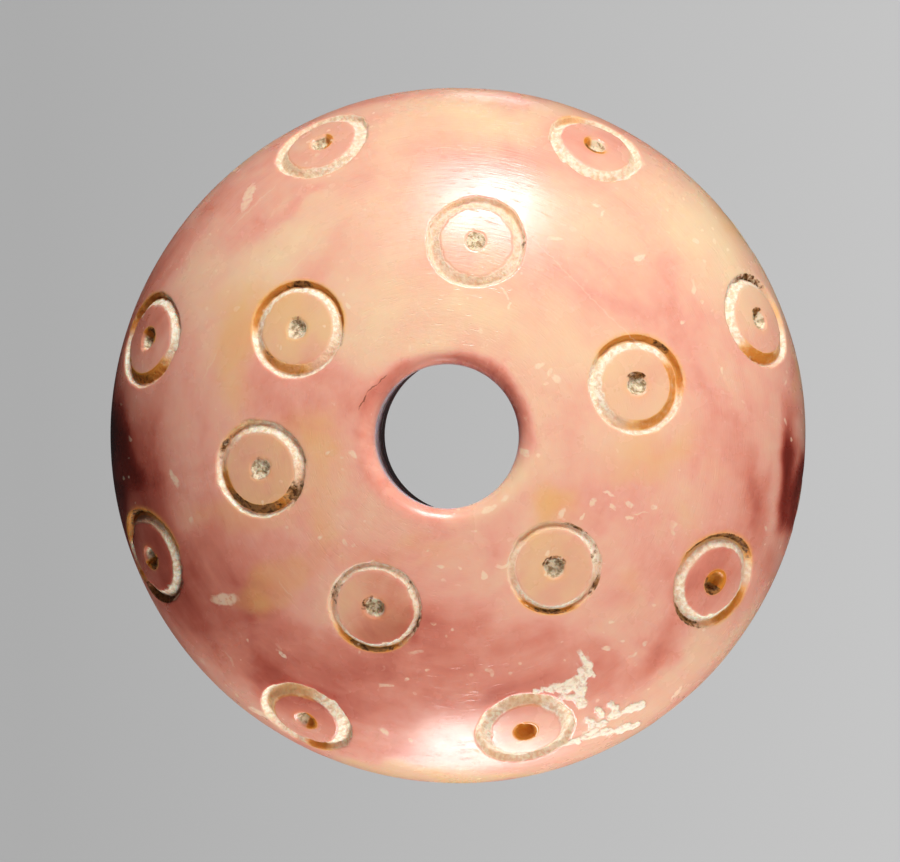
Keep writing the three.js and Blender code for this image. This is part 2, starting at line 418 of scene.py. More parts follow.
# without a seed of its own the noise starts from the time of day, and no two runs agree
noise.seed_set(1)
ragged = wobble(2600, 4)
drift = wobble(260, 3)
for mark in marks:
    mine = np.nonzero(mark_number == mark["number"])[0]
    if mark["number"] < len(inner_row) + len(shoulder_row):
        from_centre = points[mine] - mark["centre"]
        bearing = np.degrees(np.arctan2(from_centre[:, 1], from_centre[:, 0]))
    else:
        bearing = np.degrees(np.arctan2(mark_at[mine, 1], mark_at[mine, 0]))
    hour = ((90 - bearing) / 30 + ragged[mine, 2] * 0.25) % 12
    away = beside[mine]
    in_groove = (away - ring_radius) / (groove_width / 2 * mark["width"])
    reach = {
        "out": ease(in_groove, 0.30, 0.55) * (1 - ease(in_groove, 1.0, 1.3)),
        "in": (1 - ease(in_groove, 0.2, 0.5)) * (1 - ease(-in_groove, 1.0, 1.3)),
        "all": 1 - ease(np.abs(in_groove), 0.95, 1.25),
        "dot": ease(away, 0.00008, 0.00036) * (1 - ease(away, 0.00055, 0.00064)),
    }
    # a stain creeps a little way into the bone beside it
    seep = {
        "out": 0.62 * (1 - ease(in_groove, 0.9, 2.1)) * (in_groove > 0),
        "in": 0.30 * (1 - ease(-in_groove, 0.8, 2.0)) * (in_groove < 0),
        "all": 0 * away,
        "dot": 0 * away,
    }
    for tone, side, begins, ends, strength in mark["stains"]:
        span = within(hour, begins, ends)
        spread = reach[side] if not (side == "dot" and ends - begins >= 12) else away < 0.00062
        if tone == "amber":
            spread = np.maximum(spread, seep[side])
        tones[tone][mine] = np.maximum(tones[tone][mine], strength * span * spread)
    round_dot = 0.22 * (1 - ease(away, 0.00055, 0.00085)) * (away > 0.00045)
    tones["amber"][mine] = np.maximum(tones["amber"][mine], round_dot)

# x and y of the middle (mm), half length, half width, how far it turns from +X (degrees), and its tone
# the darkest tone is dark stain with painted shade over it
cream, peach, rose, red, dark_and_shade = 0.6, 0.3, -0.2, -0.5, -0.9
streaks = [
    # a cream sweep round the far left, with rose beside it
    (-7.5, 8.0, 4.0, 1.3, 42, cream), (-9.0, 3.0, 1.5, 3.5, 12, peach / 3), (-3.5, 6.0, 3.0, 1.6, 30, cream),
    (-3.0, 4.0, 1.8, 1.5, 0, peach), (-9.6, 10.4, 3.8, 0.7, 48, rose), (-6.4, 9.9, 3.0, 0.5, 24, red),
    (-13.2, 5.4, 1.0, 3.0, -20, red), (-9.8, 6.0, 0.7, 3.0, -40, rose), (-5.2, 3.0, 1.0, 1.6, 0, rose),
    (-6.5, 1.2, 2.2, 0.9, -20, rose),
    # the crown and the far right: cream, crossed by pale rose
    (-1.4, 9.0, 3.0, 1.8, 0, peach), (1.5, 4.9, 2.6, 1.4, 0, cream), (1.8, 11.0, 2.4, 1.4, 0, rose / 2),
    (2.0, 13.8, 2.4, 0.9, 0, cream), (-1.8, 12.8, 2.5, 1.5, 44, peach), (5.6, 9.6, 4.0, 2.0, -35, peach),
    (3.0, 8.6, 2.4, 1.0, -50, rose), (6.0, 6.6, 3.4, 1.0, -40, rose / 2), (11.2, 8.2, 1.5, 4.2, 38, cream),
    (5.0, 3.6, 2.4, 1.4, 15, cream), (10.5, 3.8, 1.2, 2.6, 20, rose / 2),
    (6.1, 12.4, 1.2, 1.0, 0, rose), (-5.6, 12.5, 1.2, 1.0, 0, rose),
    # the right: peach, going over to red and dark brown at the widest circle, the dark brown partly painted
    # shade
    (7.4, 0.6, 3.6, 1.6, 10, peach), (3.2, -1.9, 1.5, 1.8, 45, peach), (11.2, 0.2, 2.0, 3.6, 5, 0.8 * rose),
    (12.8, -3.6, 0.8, 3.0, 16, red), (14.9, -1.8, 0.7, 4.2, 6, 1.7 * dark_and_shade),
    (8.2, -3.4, 3.0, 1.2, -20, rose / 2),
    # the near right: rose streaks over peach, cream at the edge
    (8.2, -6.6, 1.6, 1.8, -40, rose / 2), (11.0, -5.7, 1.3, 1.3, 0, red), (9.4, -8.6, 2.6, 0.6, 48, red),
    (5.6, -9.2, 2.4, 0.8, 0, rose), (9.0, -11.3, 1.0, 5.0, -48, peach), (3.4, -7.0, 3.6, 1.2, -12, peach / 3),
    # the near side: brick red under the marks, cream at the edge, partly a painted glow where the low boards
    # light it
    (0.6, -10.2, 6.4, 1.7, -4, red), (-1.0, -8.2, 3.0, 1.0, 10, red), (0.0, -14.6, 7.0, 0.5, 0, cream),
    (-4.8, -4.9, 3.4, 1.1, -24, rose), (-0.8, -5.6, 2.8, 1.6, -28, rose / 2),
    # the near left, the darkest side: brick stain with painted shade, darkest at the widest circle
    (-8.0, -9.0, 6.4, 2.6, -38, 0.7 * dark_and_shade), (-12.9, -2.0, 1.6, 5.4, 8, 0.8 * dark_and_shade),
    (-14.6, -0.8, 0.8, 4.2, 3, 1.7 * dark_and_shade),
    (-9.2, -4.0, 3.0, 1.4, -50, rose / 2), (-11.2, 1.0, 1.6, 2.2, 70, rose / 2),
]
# and where the bone has turned honey yellow, in the same way; below nothing it stays pink
faint, clear, strong = 0.35, 0.6, 0.9
honey_streaks = [
    (-6.6, 6.4, 3.8, 1.6, 42, clear), (-9.2, 3.0, 1.2, 3.0, 10, clear), (-5.6, 0.4, 2.4, 2.0, -74, clear),
    (-8.4, -3.3, 3.2, 1.3, 15, clear), (-7.8, -6.2, 2.4, 0.8, 20, strong), (-2.4, -4.6, 3.4, 1.0, -8, clear),
    (5.6, -3.8, 2.6, 1.0, -10, faint), (3.0, 3.6, 2.2, 1.6, 40, faint),
    (4.6, -3.2, 1.3, 0.9, 40, strong), (3.6, -1.6, 0.9, 1.4, -30, faint), (8.6, -0.8, 2.8, 1.6, 0, clear),
    (7.6, -6.2, 2.0, 1.2, 10, faint), (10.6, -4.2, 0.8, 1.2, 0, faint), (11.6, 9.4, 0.7, 3.6, 50, clear),
    (14.6, 4.6, 0.5, 3.0, 12, clear), (0.0, 14.7, 4.0, 0.5, 0, faint), (0.0, -14.6, 7.0, 0.6, 0, clear),
    (0.4, 12.4, 4.4, 2.4, 0, -clear), (-3.4, 9.0, 2.8, 1.6, -40, -clear), (4.8, 6.4, 4.0, 2.6, -35, -clear),
    (9.8, 6.0, 1.8, 2.7, 0, -faint),
]
stain = np.zeros(len(points))
yellow = np.zeros(len(points))
for list_of, values in ((streaks, stain), (honey_streaks, yellow)):
    for x, y, half_length, half_width, turn, tone in list_of:
        ca, sa = math.cos(math.radians(turn)), math.sin(math.radians(turn))
        dx = points[:, 0] * 1000 - x + drift[:, 0] * 1.2
        dy = points[:, 1] * 1000 - y + drift[:, 1] * 1.2
        far = np.hypot((dx * ca + dy * sa) / half_length, (dy * ca - dx * sa) / half_width)
        values += tone * np.exp(-(far**2) * 1.1) * ease(points[:, 2], 0.001, 0.003)
# the bore's rounded mouth: brick red on the far side, cream near one corner
from_axis = np.hypot(points[:, 0], points[:, 1])
clock = (90 - np.degrees(np.arctan2(points[:, 1], points[:, 0]))) / 30 % 12
mouth = (1 - ease(from_axis + drift[:, 0] * 0.0003, 0.00350, 0.00392)) * (points[:, 2] > 0.008)
mouth_tone = -0.6 * within(clock, 9.8, 15.6) - 0.2 * within(clock, 6, 10.4) + 0.35 * within(clock, 3.6, 5.4)
stain += mouth * mouth_tone
# the wall of the bore is dark brown, going over to pale grey towards the upper mouth
in_bore = (from_axis < 0.00345) * ease(-points[:, 2], -0.0127, -0.0124)

# the crust lies in a few ragged strips and flakes: the ends of each (mm), half width and thickness
crust_strips = [
    ((5.8, -9.7), (5.3, -10.5), 0.27, 1.0), ((5.5, -9.8), (6.0, -10.0), 0.17, 1.0),
    ((5.4, -10.4), (4.7, -10.6), 0.27, 1.0), ((4.9, -10.5), (3.6, -10.75), 0.15, 0.9),
    ((5.5, -10.6), (5.5, -11.3), 0.27, 0.8), ((5.3, -11.0), (4.6, -11.0), 0.17, 0.45),
    ((6.7, -11.9), (8.0, -11.4), 0.16, 0.9), ((6.8, -11.4), (6.9, -11.6), 0.20, 0.8),
    ((6.2, -11.6), (6.3, -11.8), 0.18, 0.7), ((5.5, -12.8), (6.7, -12.6), 0.18, 0.8),
    ((6.0, -12.5), (6.4, -12.2), 0.18, 0.8), ((6.9, -12.6), (7.8, -12.35), 0.15, 0.7),
    ((4.7, -13.1), (5.3, -13.0), 0.17, 0.8), ((5.8, -12.0), (6.0, -12.3), 0.20, 0.45),
]
crust = np.zeros(len(points))
for (x0, y0), (x1, y1), half_width, thick in crust_strips:
    px, py = points[:, 0] * 1000 + ragged[:, 0] * 0.13, points[:, 1] * 1000 + ragged[:, 1] * 0.13
    t = np.clip(((px - x0) * (x1 - x0) + (py - y0) * (y1 - y0)) / ((x1 - x0) ** 2 + (y1 - y0) ** 2), 0, 1)
    off = np.hypot(px - x0 - t * (x1 - x0), py - y0 - t * (y1 - y0))
    crust = np.maximum(crust, thick * (1 - ease(off, half_width * 0.35, half_width * 1.2)))
crust *= points[:, 2] > belly_height

numbers = {**tones, "stain": stain, "yellow": yellow, "crust": crust, "in_bore": in_bore,
           "mark_number": mark_number, "outline_length": length_of}
for name, values in numbers.items():
    layer = blank.attributes.new(name, "FLOAT", "POINT")
    layer.data.foreach_set("value", values.astype(np.float32))
for name, values in (("mark_at", mark_at), ("mark_cut", mark_cut)):
    layer = blank.attributes.new(name, "FLOAT_VECTOR", "POINT")
    layer.data.foreach_set("vector", values.astype(np.float32).ravel())


# ---- Cutting the marks ----
# Each ring is scored by the side tooth of a compass bit turned on its centre point, whose hole is the dot.
# The tooth wandered and chipped the lips. The tree cuts every groove and dot into the turned body and leaves,
# for the finish, how deep each place was cut.
def feed(tree, socket, value):
    if isinstance(value, bpy.types.NodeSocket):
        tree.links.new(value, socket)
    elif value is not None:
        socket.default_value = value


def add(tree, kind, *values, out=0, **settings):
    """A node with its settings made and its first sockets fed, and the socket it puts out."""
    node = tree.nodes.new(kind)
    for key, setting in settings.items():
        setattr(node, key, setting)
    for socket, value in zip(node.inputs, values):
        feed(tree, socket, value)
    return node.outputs[out]


def sums(tree, operation, *values):
    return add(tree, "ShaderNodeMath", *values, operation=operation)


def times(tree, first, second):
    return sums(tree, "MULTIPLY", first, second)


def plus(tree, first, second):
    return sums(tree, "ADD", first, second)


def minus(tree, first, second):
    return sums(tree, "SUBTRACT", first, second)


def ramp(tree, value, low, high, start=0.0, end=1.0, kind="SMOOTHSTEP"):
    return add(tree, "ShaderNodeMapRange", value, low, high, start, end, interpolation_type=kind)


def clouds(tree, where, scale, detail=2.0, rough=0.5, out=0, w=None):
    return add(tree, "ShaderNodeTexNoise", where, w, scale, detail, rough, out=out,
               noise_dimensions="3D" if w is None else "4D")


cut_settings = {
    "Ring Radius": ring_radius, "Groove Width": groove_width, "Groove Depth": 0.00028, "Dot Radius": 0.00044,
    "Dot Depth": 0.00060, "Wander": 0.00006, "Chipping": 0.00010, "Hand Finish": 0.00003,
    "Crust Thickness": 0.00006, "Seed": 4.0,
}
cutting = bpy.data.node_groups.new("Ring and dot cutting", "GeometryNodeTree")
cutting.interface.new_socket("Body", in_out="INPUT", socket_type="NodeSocketGeometry")
for name in cut_settings:
    cutting.interface.new_socket(name, in_out="INPUT", socket_type="NodeSocketFloat")
cutting.interface.new_socket("Finish", in_out="INPUT", socket_type="NodeSocketMaterial")
cutting.interface.new_socket("Whorl", in_out="OUTPUT", socket_type="NodeSocketGeometry")
given = cutting.nodes.new("NodeGroupInput").outputs


def kept(tree, name, kind="FLOAT"):
    node = tree.nodes.new("GeometryNodeInputNamedAttribute")
    node.data_type = kind
    node.inputs["Name"].default_value = name
    return node.outputs["Attribute"]


# each mark wanders in its own way
number = plus(cutting, times(cutting, kept(cutting, "mark_number"), 3.7), given["Seed"])
at = kept(cutting, "mark_at", "FLOAT_VECTOR")
cut_width = add(cutting, "ShaderNodeSeparateXYZ", kept(cutting, "mark_cut", "FLOAT_VECTOR"), out=0)
dot_fill = add(cutting, "ShaderNodeSeparateXYZ", kept(cutting, "mark_cut", "FLOAT_VECTOR"), out=1)
place = add(cutting, "GeometryNodeInputPosition")
reach = add(cutting, "ShaderNodeVectorMath", at, operation="LENGTH", out=1)
round_dir = add(cutting, "ShaderNodeVectorMath", at, operation="NORMALIZE")
on_mark = sums(cutting, "GREATER_THAN", cut_width, 0.01)

# the tooth's wander: where round the ring it strays, and where it bites wider or deeper
stray = minus(cutting, clouds(cutting, round_dir, 1.1, 1.0, w=number), 0.5)
wide = clouds(cutting, round_dir, 1.7, 2.0, w=plus(cutting, number, 9.1))
deep = clouds(cutting, round_dir, 1.3, 1.0, w=plus(cutting, number, 21.7))
crumbs = minus(cutting, clouds(cutting, place, 3600.0, 3.0, 0.65), 0.5)
bites = ramp(cutting, clouds(cutting, place, 1500.0, 2.0, 0.6), 0.56, 0.7)
ring_at = plus(cutting, given["Ring Radius"], times(cutting, stray, times(cutting, given["Wander"], 2.5)))
half = times(cutting, times(cutting, given["Groove Width"], 0.5), times(
    cutting, cut_width, ramp(cutting, wide, 0.25, 0.75, 0.8, 1.15, "LINEAR")))
chips = plus(cutting, times(cutting, crumbs, 2.0), bites)
edge = plus(cutting, half, times(cutting, chips, given["Chipping"]))
across = sums(cutting, "DIVIDE", minus(cutting, reach, ring_at), edge)
# the tooth's outer face is steep and its inner face slopes
groove = sums(cutting, "MINIMUM", ramp(cutting, across, -1.0, 0.40, 0.0, 1.0, "LINEAR"), ramp(
    cutting, across, 1.0, 0.60, 0.0, 1.0, "LINEAR"))
groove = times(cutting, groove, on_mark)
groove_deep = times(cutting, times(cutting, groove, given["Groove Depth"]), ramp(
    cutting, times(cutting, deep, cut_width), 0.2, 0.75, 0.62, 1.15, "LINEAR"))

# the dot: the centre point's hole, still packed with earth in part, and cut deeper where its dark tone lies,
# which is earth and the painted shade of its crescent together
dot_chips = plus(cutting, crumbs, times(cutting, bites, 0.6))
dot_chips = times(cutting, dot_chips, times(cutting, given["Chipping"], 1.8))
dot_edge = plus(cutting, given["Dot Radius"], dot_chips)
dot = times(cutting, on_mark, ramp(cutting, reach, dot_edge, times(
    cutting, dot_edge, 0.6), 0.0, 1.0, "LINEAR"))
emptied = sums(cutting, "MAXIMUM", ramp(cutting, dot_fill, 0.0, 1.0, 1.0, 0.12, "LINEAR"), times(
    cutting, kept(cutting, "dirt"), 0.7))
dot_deep = times(cutting, times(cutting, dot, given["Dot Depth"]), emptied)

rough_cut = times(cutting, plus(cutting, groove, times(cutting, dot, 1.4)), times(
    cutting, crumbs, times(cutting, given["Chipping"], 2.2)))
swell = times(cutting, minus(cutting, clouds(cutting, place, 170.0, 1.0), 0.5), times(
    cutting, given["Hand Finish"], 2.0))
lumps = clouds(cutting, place, 2600.0, 3.0, 0.6)
heap = times(cutting, kept(cutting, "crust"), given["Crust Thickness"])
heap = times(cutting, heap, ramp(cutting, lumps, 0.3, 0.7, 0.15, 1.4, "LINEAR"))
lift = minus(cutting, plus(cutting, plus(cutting, swell, heap), rough_cut), plus(
    cutting, groove_deep, dot_deep))
# the flat base keeps its level
up = add(cutting, "ShaderNodeSeparateXYZ", add(cutting, "GeometryNodeInputNormal"), out=2)
lift = times(cutting, lift, ramp(cutting, up, -0.98, -0.85))
move = add(cutting, "ShaderNodeVectorMath", add(cutting, "GeometryNodeInputNormal"), operation="SCALE")
feed(cutting, move.node.inputs["Scale"], lift)


def keep_value(tree, geometry, name, value):
    node = tree.nodes.new("GeometryNodeStoreNamedAttribute")
    node.data_type, node.domain = "FLOAT", "POINT"
    feed(tree, node.inputs["Geometry"], geometry)
    node.inputs["Name"].default_value = name
    feed(tree, node.inputs["Value"], value)
    return node.outputs[0]


body = keep_value(cutting, given["Body"], "groove", groove)
body = keep_value(cutting, body, "dot", dot)
disc = times(cutting, ramp(cutting, reach, 0.0017, 0.0014), on_mark)
body = keep_value(cutting, body, "disc", disc)
moved = cutting.nodes.new("GeometryNodeSetPosition")
feed(cutting, moved.inputs["Geometry"], body)
feed(cutting, moved.inputs["Offset"], move)
whole = add(cutting, "GeometryNodeRealizeInstances", moved.outputs[0])
finish = cutting.nodes.new("GeometryNodeSetMaterial")
feed(cutting, finish.inputs["Geometry"], whole)
feed(cutting, finish.inputs["Material"], given["Finish"])
feed(cutting, cutting.nodes.new("NodeGroupOutput").inputs[0], finish.outputs[0])


# ---- One small chip, fleck or scratch ----
# Knocks and handling left small chips, flecks and scratches in the polish. The shader group marks one: its
# middle, and along and across it as directions over half its length and half its width. Spots are chained,
# each keeping the strongest so far.
spot = bpy.data.node_groups.new("Small spot", "ShaderNodeTree")
for name in ("Where", "Middle", "Along", "Across"):
    spot.interface.new_socket(name, in_out="INPUT", socket_type="NodeSocketVector")
spot.interface.new_socket("So Far", in_out="INPUT", socket_type="NodeSocketFloat")
spot.interface.new_socket("Mask", in_out="OUTPUT", socket_type="NodeSocketFloat")
spot_in = spot.nodes.new("NodeGroupInput").outputs
apart = add(spot, "ShaderNodeVectorMath", spot_in["Where"], spot_in["Middle"], operation="SUBTRACT")
spot_x = add(spot, "ShaderNodeVectorMath", apart, spot_in["Along"], operation="DOT_PRODUCT", out=1)
spot_y = add(spot, "ShaderNodeVectorMath", apart, spot_in["Across"], operation="DOT_PRODUCT", out=1)
spot_far = sums(spot, "SQRT", plus(spot, times(spot, spot_x, spot_x), times(spot, spot_y, spot_y)))
feed(spot, spot.nodes.new("NodeGroupOutput").inputs[0], sums(
    spot, "MAXIMUM", spot_in["So Far"], ramp(spot, spot_far, 1.25, 0.75)))


# ---- The bone's finish ----
# Polished bone, waxy and slightly see-through, stained rose and cream in soft clouds and bands, with fine
# turning lines and handling scratches. Cut places are dull and crumbly, cream where clean and amber to brown
# where stained, and the same cream, amber and brown also paint the light and shade on the cut walls.
bone = bpy.data.materials.new("stained_bone")
bone.use_nodes = True
tree = bone.node_tree
tree.nodes.clear()
shade = tree.nodes.new("ShaderNodeBsdfPrincipled")
feed(tree, tree.nodes.new("ShaderNodeOutputMaterial").inputs["Surface"], shade.outputs[0])


def read(name, kind="Fac"):
    node = tree.nodes.new("ShaderNodeAttribute")
    node.attribute_name = name
    return node.outputs[kind]


def blend(amount, first, second):
    """Colour first going over to colour second."""
    node = tree.nodes.new("ShaderNodeMix")
    node.data_type = "RGBA"
    feed(tree, node.inputs[0], amount)
    feed(tree, node.inputs[6], (*first, 1) if isinstance(first, tuple) else first)
    feed(tree, node.inputs[7], (*second, 1) if isinstance(second, tuple) else second)
    return node.outputs[2]


where = add(tree, "ShaderNodeTexCoord", out=3)
height = add(tree, "ShaderNodeSeparateXYZ", where, out=2)
bend = add(tree, "ShaderNodeVectorMath", clouds(tree, where, 170.0, 2.0, 0.5, out=1), (0.5, 0.5, 0.5),
           operation="SUBTRACT")
bent = add(tree, "ShaderNodeVectorMath", bend, (0.008, 0.008, 0.004), where, operation="MULTIPLY_ADD")
cloud = clouds(tree, bent, 300.0, 4.0, 0.58)
# drawn out round the axis, as the stain followed the turning
length = read("outline_length")
spin = add(tree, "ShaderNodeVectorMath", bent, (1.0, 1.0, 0.0), operation="MULTIPLY")
spin = add(tree, "ShaderNodeVectorMath", spin, operation="NORMALIZE")
rings = add(tree, "ShaderNodeCombineXYZ", 0.0, 0.0, times(tree, length, 520.0))
drawn_out = add(tree, "ShaderNodeVectorMath", spin, (2.4, 2.4, 0.0), rings, operation="MULTIPLY_ADD")
bands = clouds(tree, drawn_out, 1.0, 4.0, 0.6)
mottle = clouds(tree, where, 1400.0, 3.0, 0.6)
cloudy = times(tree, minus(tree, cloud, 0.5), 0.75)
banded = times(tree, minus(tree, bands, 0.5), 0.85)
tone = plus(tree, plus(tree, cloudy, banded), read("stain"))
tone = plus(tree, tone, times(tree, minus(tree, mottle, 0.5), 0.22))
# the tone ramp's dark end serves dark stain and painted shade alike
stained_and_shaded = tree.nodes.new("ShaderNodeValToRGB")
feed(tree, stained_and_shaded.inputs[0], ramp(tree, tone, -2.0, 1.0, 0.0, 1.0, "LINEAR"))
stain_and_shade_colours = [
    (0.0, (0.06, 0.005, 0.003)), (0.28, (0.26, 0.035, 0.022)), (0.42, (0.50, 0.12, 0.08)),
    (0.53, (0.70, 0.25, 0.175)), (0.63, (0.80, 0.38, 0.28)), (0.73, (0.82, 0.485, 0.33)),
    (0.92, (0.84, 0.60, 0.375)),
]
stops = stained_and_shaded.color_ramp.elements
for place_at, _ in stain_and_shade_colours[1:-1]:
    stops.new(place_at)
for stop, (place_at, shade_of) in zip(stops, stain_and_shade_colours):
    stop.position, stop.color = place_at, (*shade_of, 1)
colour = stained_and_shaded.outputs[0]
# here and there the stain is yellower
gold = times(tree, minus(tree, clouds(tree, bent, 300.0, 3.0, 0.5), 0.5), 1.3)
honey = ramp(tree, plus(tree, gold, read("yellow")), 0.2, 1.1, 0.0, 0.75)
colour = blend(honey, colour, (0.78, 0.42, 0.14))

# tan centres, then the cut places
tan = add(tree, "ShaderNodeSeparateXYZ", read("mark_cut", "Vector"), out=2)
tanned = times(tree, times(tree, read("disc"), tan), ramp(tree, bands, 0.35, 0.65, 0.45, 0.9))
colour = blend(tanned, colour, blend(ramp(tree, tone, -0.7, 0.3), (0.54, 0.25, 0.12), (0.78, 0.49, 0.24)))
crumb = clouds(tree, where, 5200.0, 3.0, 0.62)
groove_on = ramp(tree, read("groove"), 0.02, 0.22)
colour = blend(times(tree, groove_on, 0.5), colour, (0.80, 0.56, 0.34))
dot_on = ramp(tree, read("dot"), 0.05, 0.35)
earth = blend(ramp(tree, crumb, 0.38, 0.58), (0.40, 0.26, 0.14), (0.82, 0.68, 0.48))
colour = blend(dot_on, colour, earth)
# the pale tone: the cuts' own cream, and painted light on the walls that face the soft box
pale = times(tree, read("pale"), ramp(tree, crumb, 0.3, 0.46, 0.6, 1.0))
pale = times(tree, pale, sums(tree, "MAXIMUM", groove_on, dot_on))
colour = blend(pale, colour, blend(ramp(tree, crumb, 0.40, 0.60), (0.80, 0.58, 0.39), (0.94, 0.82, 0.65)))
# amber and dirt: stain and earth in the cuts, and painted shade on walls and dot sides turned from the soft
# box
loose = times(tree, minus(tree, crumb, 0.5), 1.1)
amber = plus(tree, read("amber"), times(tree, loose, read("amber")))
amber = times(tree, ramp(tree, amber, 0.05, 0.9), 0.95)
amber_and_shade_tone = blend(ramp(tree, read("amber"), 0.45, 0.8), (0.88, 0.44, 0.11), (0.62, 0.21, 0.018))
colour = blend(amber, colour, amber_and_shade_tone)
dirt = ramp(tree, plus(tree, read("dirt"), times(tree, loose, -1.0)), 0.45, 0.85)
dirt = times(tree, dirt, ramp(tree, read("dirt"), 0.02, 0.2))
dirt_and_shade_tone = blend(ramp(tree, crumb, 0.36, 0.54), (0.08, 0.026, 0.006), (0.30, 0.13, 0.04))
colour = blend(dirt, colour, dirt_and_shade_tone)
crusted = plus(tree, read("crust"), times(tree, loose, read("crust")))
crusted = ramp(tree, crusted, 0.12, 0.5)
lime = blend(ramp(tree, crumb, 0.33, 0.52), (0.72, 0.50, 0.36), (0.90, 0.77, 0.60))
colour = blend(crusted, colour, lime)
# the bore's wall: dark brown, going over to a pale grey that thins downwards
grey_towards_mouth = ramp(tree, plus(tree, clouds(tree, where, 1900.0, 4.0, 0.7), times(
    tree, minus(tree, height, 0.0075), 50.0)), 0.40, 0.66)
colour = blend(read("in_bore"), colour, blend(grey_towards_mouth, (0.30, 0.125, 0.115), (0.84, 0.71, 0.74)))

# chips and flecks, x and y (mm), half length, half width and turn from +X (degrees)
flecks = [
    (-8.7, 10.15, 0.62, 0.19, 70), (-9.55, -6.9, 0.58, 0.26, 3), (-11.7, -1.8, 0.42, 0.11, -62),
    (3.9, 2.95, 0.22, 0.10, 20), (4.3, 2.7, 0.16, 0.09, 70), (4.6, 2.4, 0.20, 0.12, -50),
    (4.15, 2.2, 0.12, 0.06, 0), (2.45, 5.9, 0.24, 0.04, -62), (2.6, 5.45, 0.14, 0.05, 80),
    (8.0, 7.5, 0.26, 0.10, 25), (6.2, 9.7, 0.15, 0.09, 0), (6.45, 9.4, 0.12, 0.07, 60),
    (9.8, 4.8, 0.16, 0.09, 20), (6.1, -2.72, 0.20, 0.14, 60), (6.75, -2.4, 0.26, 0.06, -12),
    (6.9, -2.95, 0.16, 0.08, -55), (7.6, -2.85, 0.18, 0.10, -20), (7.6, -3.4, 0.16, 0.07, 15),
    (8.05, -3.2, 0.26, 0.04, 12), (8.6, -2.95, 0.13, 0.08, 10), (4.8, -3.2, 0.22, 0.12, 55),
    (5.65, -3.35, 0.16, 0.05, 55), (-7.1, -9.2, 0.22, 0.07, -50), (-2.85, -12.5, 0.20, 0.12, -50),
    (-1.75, -12.9, 0.10, 0.07, 0), (-8.3, -11.9, 0.60, 0.10, -24), (3.25, -0.65, 0.24, 0.15, -35),
    (1.8, -3.0, 0.34, 0.12, 25), (2.45, -2.55, 0.18, 0.10, 40), (6.6, -8.9, 0.20, 0.09, 0),
    (9.5, -11.0, 0.36, 0.05, 55), (-0.8, -4.75, 0.10, 0.05, 40), (7.3, -8.6, 0.10, 0.06, 0),
]
# scratches, from x and y to x and y (mm)
scratches = [
    (-9.6, 8.6, -7.3, 10.8), (-5.4, 8.3, -7.1, 6.4), (-1.5, 5.9, -0.4, 4.6), (-10.4, 2.4, -9.7, 3.7),
    (-7.2, -6.0, -6.5, -6.8), (-9.7, -9.1, -9.2, -9.9), (3.0, 8.8, 8.6, 3.2), (10.6, 9.4, 11.9, 6.9),
]
# a hairline crack runs round the bore's mouth
crack = [(-3.64, 1.15), (-3.30, 1.78), (-2.86, 2.24), (-2.46, 2.55)]
spots = list(flecks)
line_half_width = 0.03
lines = scratches + [(*p, *q) for p, q in zip(crack, crack[1:])]
for x0, y0, x1, y1 in lines:
    half_length = math.hypot(x1 - x0, y1 - y0) / 2
    turn = math.degrees(math.atan2(y1 - y0, x1 - x0))
    spots.append(((x0 + x1) / 2, (y0 + y1) / 2, half_length, line_half_width, turn))
nibble = add(tree, "ShaderNodeVectorMath", clouds(tree, where, 3000.0, 2.0, 0.6, out=1), (0.5, 0.5, 0.5),
             operation="SUBTRACT")
nibbled = add(tree, "ShaderNodeVectorMath", nibble, (0.00028, 0.00028, 0.0), where, operation="MULTIPLY_ADD")
# one chain each for the chips, the scratches and the crack
spotted = [0.0, 0.0, 0.0]
for index, (x, y, a, b, turn) in enumerate(spots):
    node = tree.nodes.new("ShaderNodeGroup")
    node.node_tree = spot
    ca, sa = math.cos(math.radians(turn)), math.sin(math.radians(turn))
    kind = int(index >= len(flecks)) + int(index >= len(flecks) + len(scratches))
    fed = {
        "Where": nibbled,
        "Middle": (x / 1000, y / 1000, 0),
        "Along": (ca * 1000 / a, sa * 1000 / a, 0),
        "Across": (-sa * 1000 / b, ca * 1000 / b, 0),
        "So Far": spotted[kind],
    }
    for name, value in fed.items():
        feed(tree, node.inputs[name], value)
    spotted[kind] = node.outputs[0]
on_dome = ramp(tree, height, 0.0038, 0.0044)
specks = ramp(tree, clouds(tree, where, 2500.0, 0.0), 0.74, 0.8)
specks = times(tree, specks, ramp(tree, bands, 0.5, 0.62))
broken = times(tree, on_dome, ramp(tree, crumb, 0.34, 0.5, 0.25, 0.7))
chipped = times(tree, sums(tree, "MAXIMUM", spotted[0], specks), broken)
scratched = times(tree, spotted[1], times(tree, on_dome, 0.28))
colour = blend(sums(tree, "MAXIMUM", chipped, scratched), colour, (0.86, 0.66, 0.46))
colour = blend(times(tree, spotted[2], 0.8), colour, (0.20, 0.06, 0.03))
feed(tree, shade.inputs["Base Color"], colour)

# gloss: polished skin, dull cuts
smears = clouds(tree, where, 420.0, 4.0, 0.6)
gloss = ramp(tree, smears, 0.3, 0.7, 0.20, 0.33, "LINEAR")
cut_or_crust = sums(tree, "MAXIMUM", sums(tree, "MAXIMUM", groove_on, dot_on), crusted)
dull = sums(tree, "MAXIMUM", cut_or_crust, chipped)
rough = add(tree, "ShaderNodeMix", dull, None, gloss, 0.8)
feed(tree, shade.inputs["Roughness"], rough)

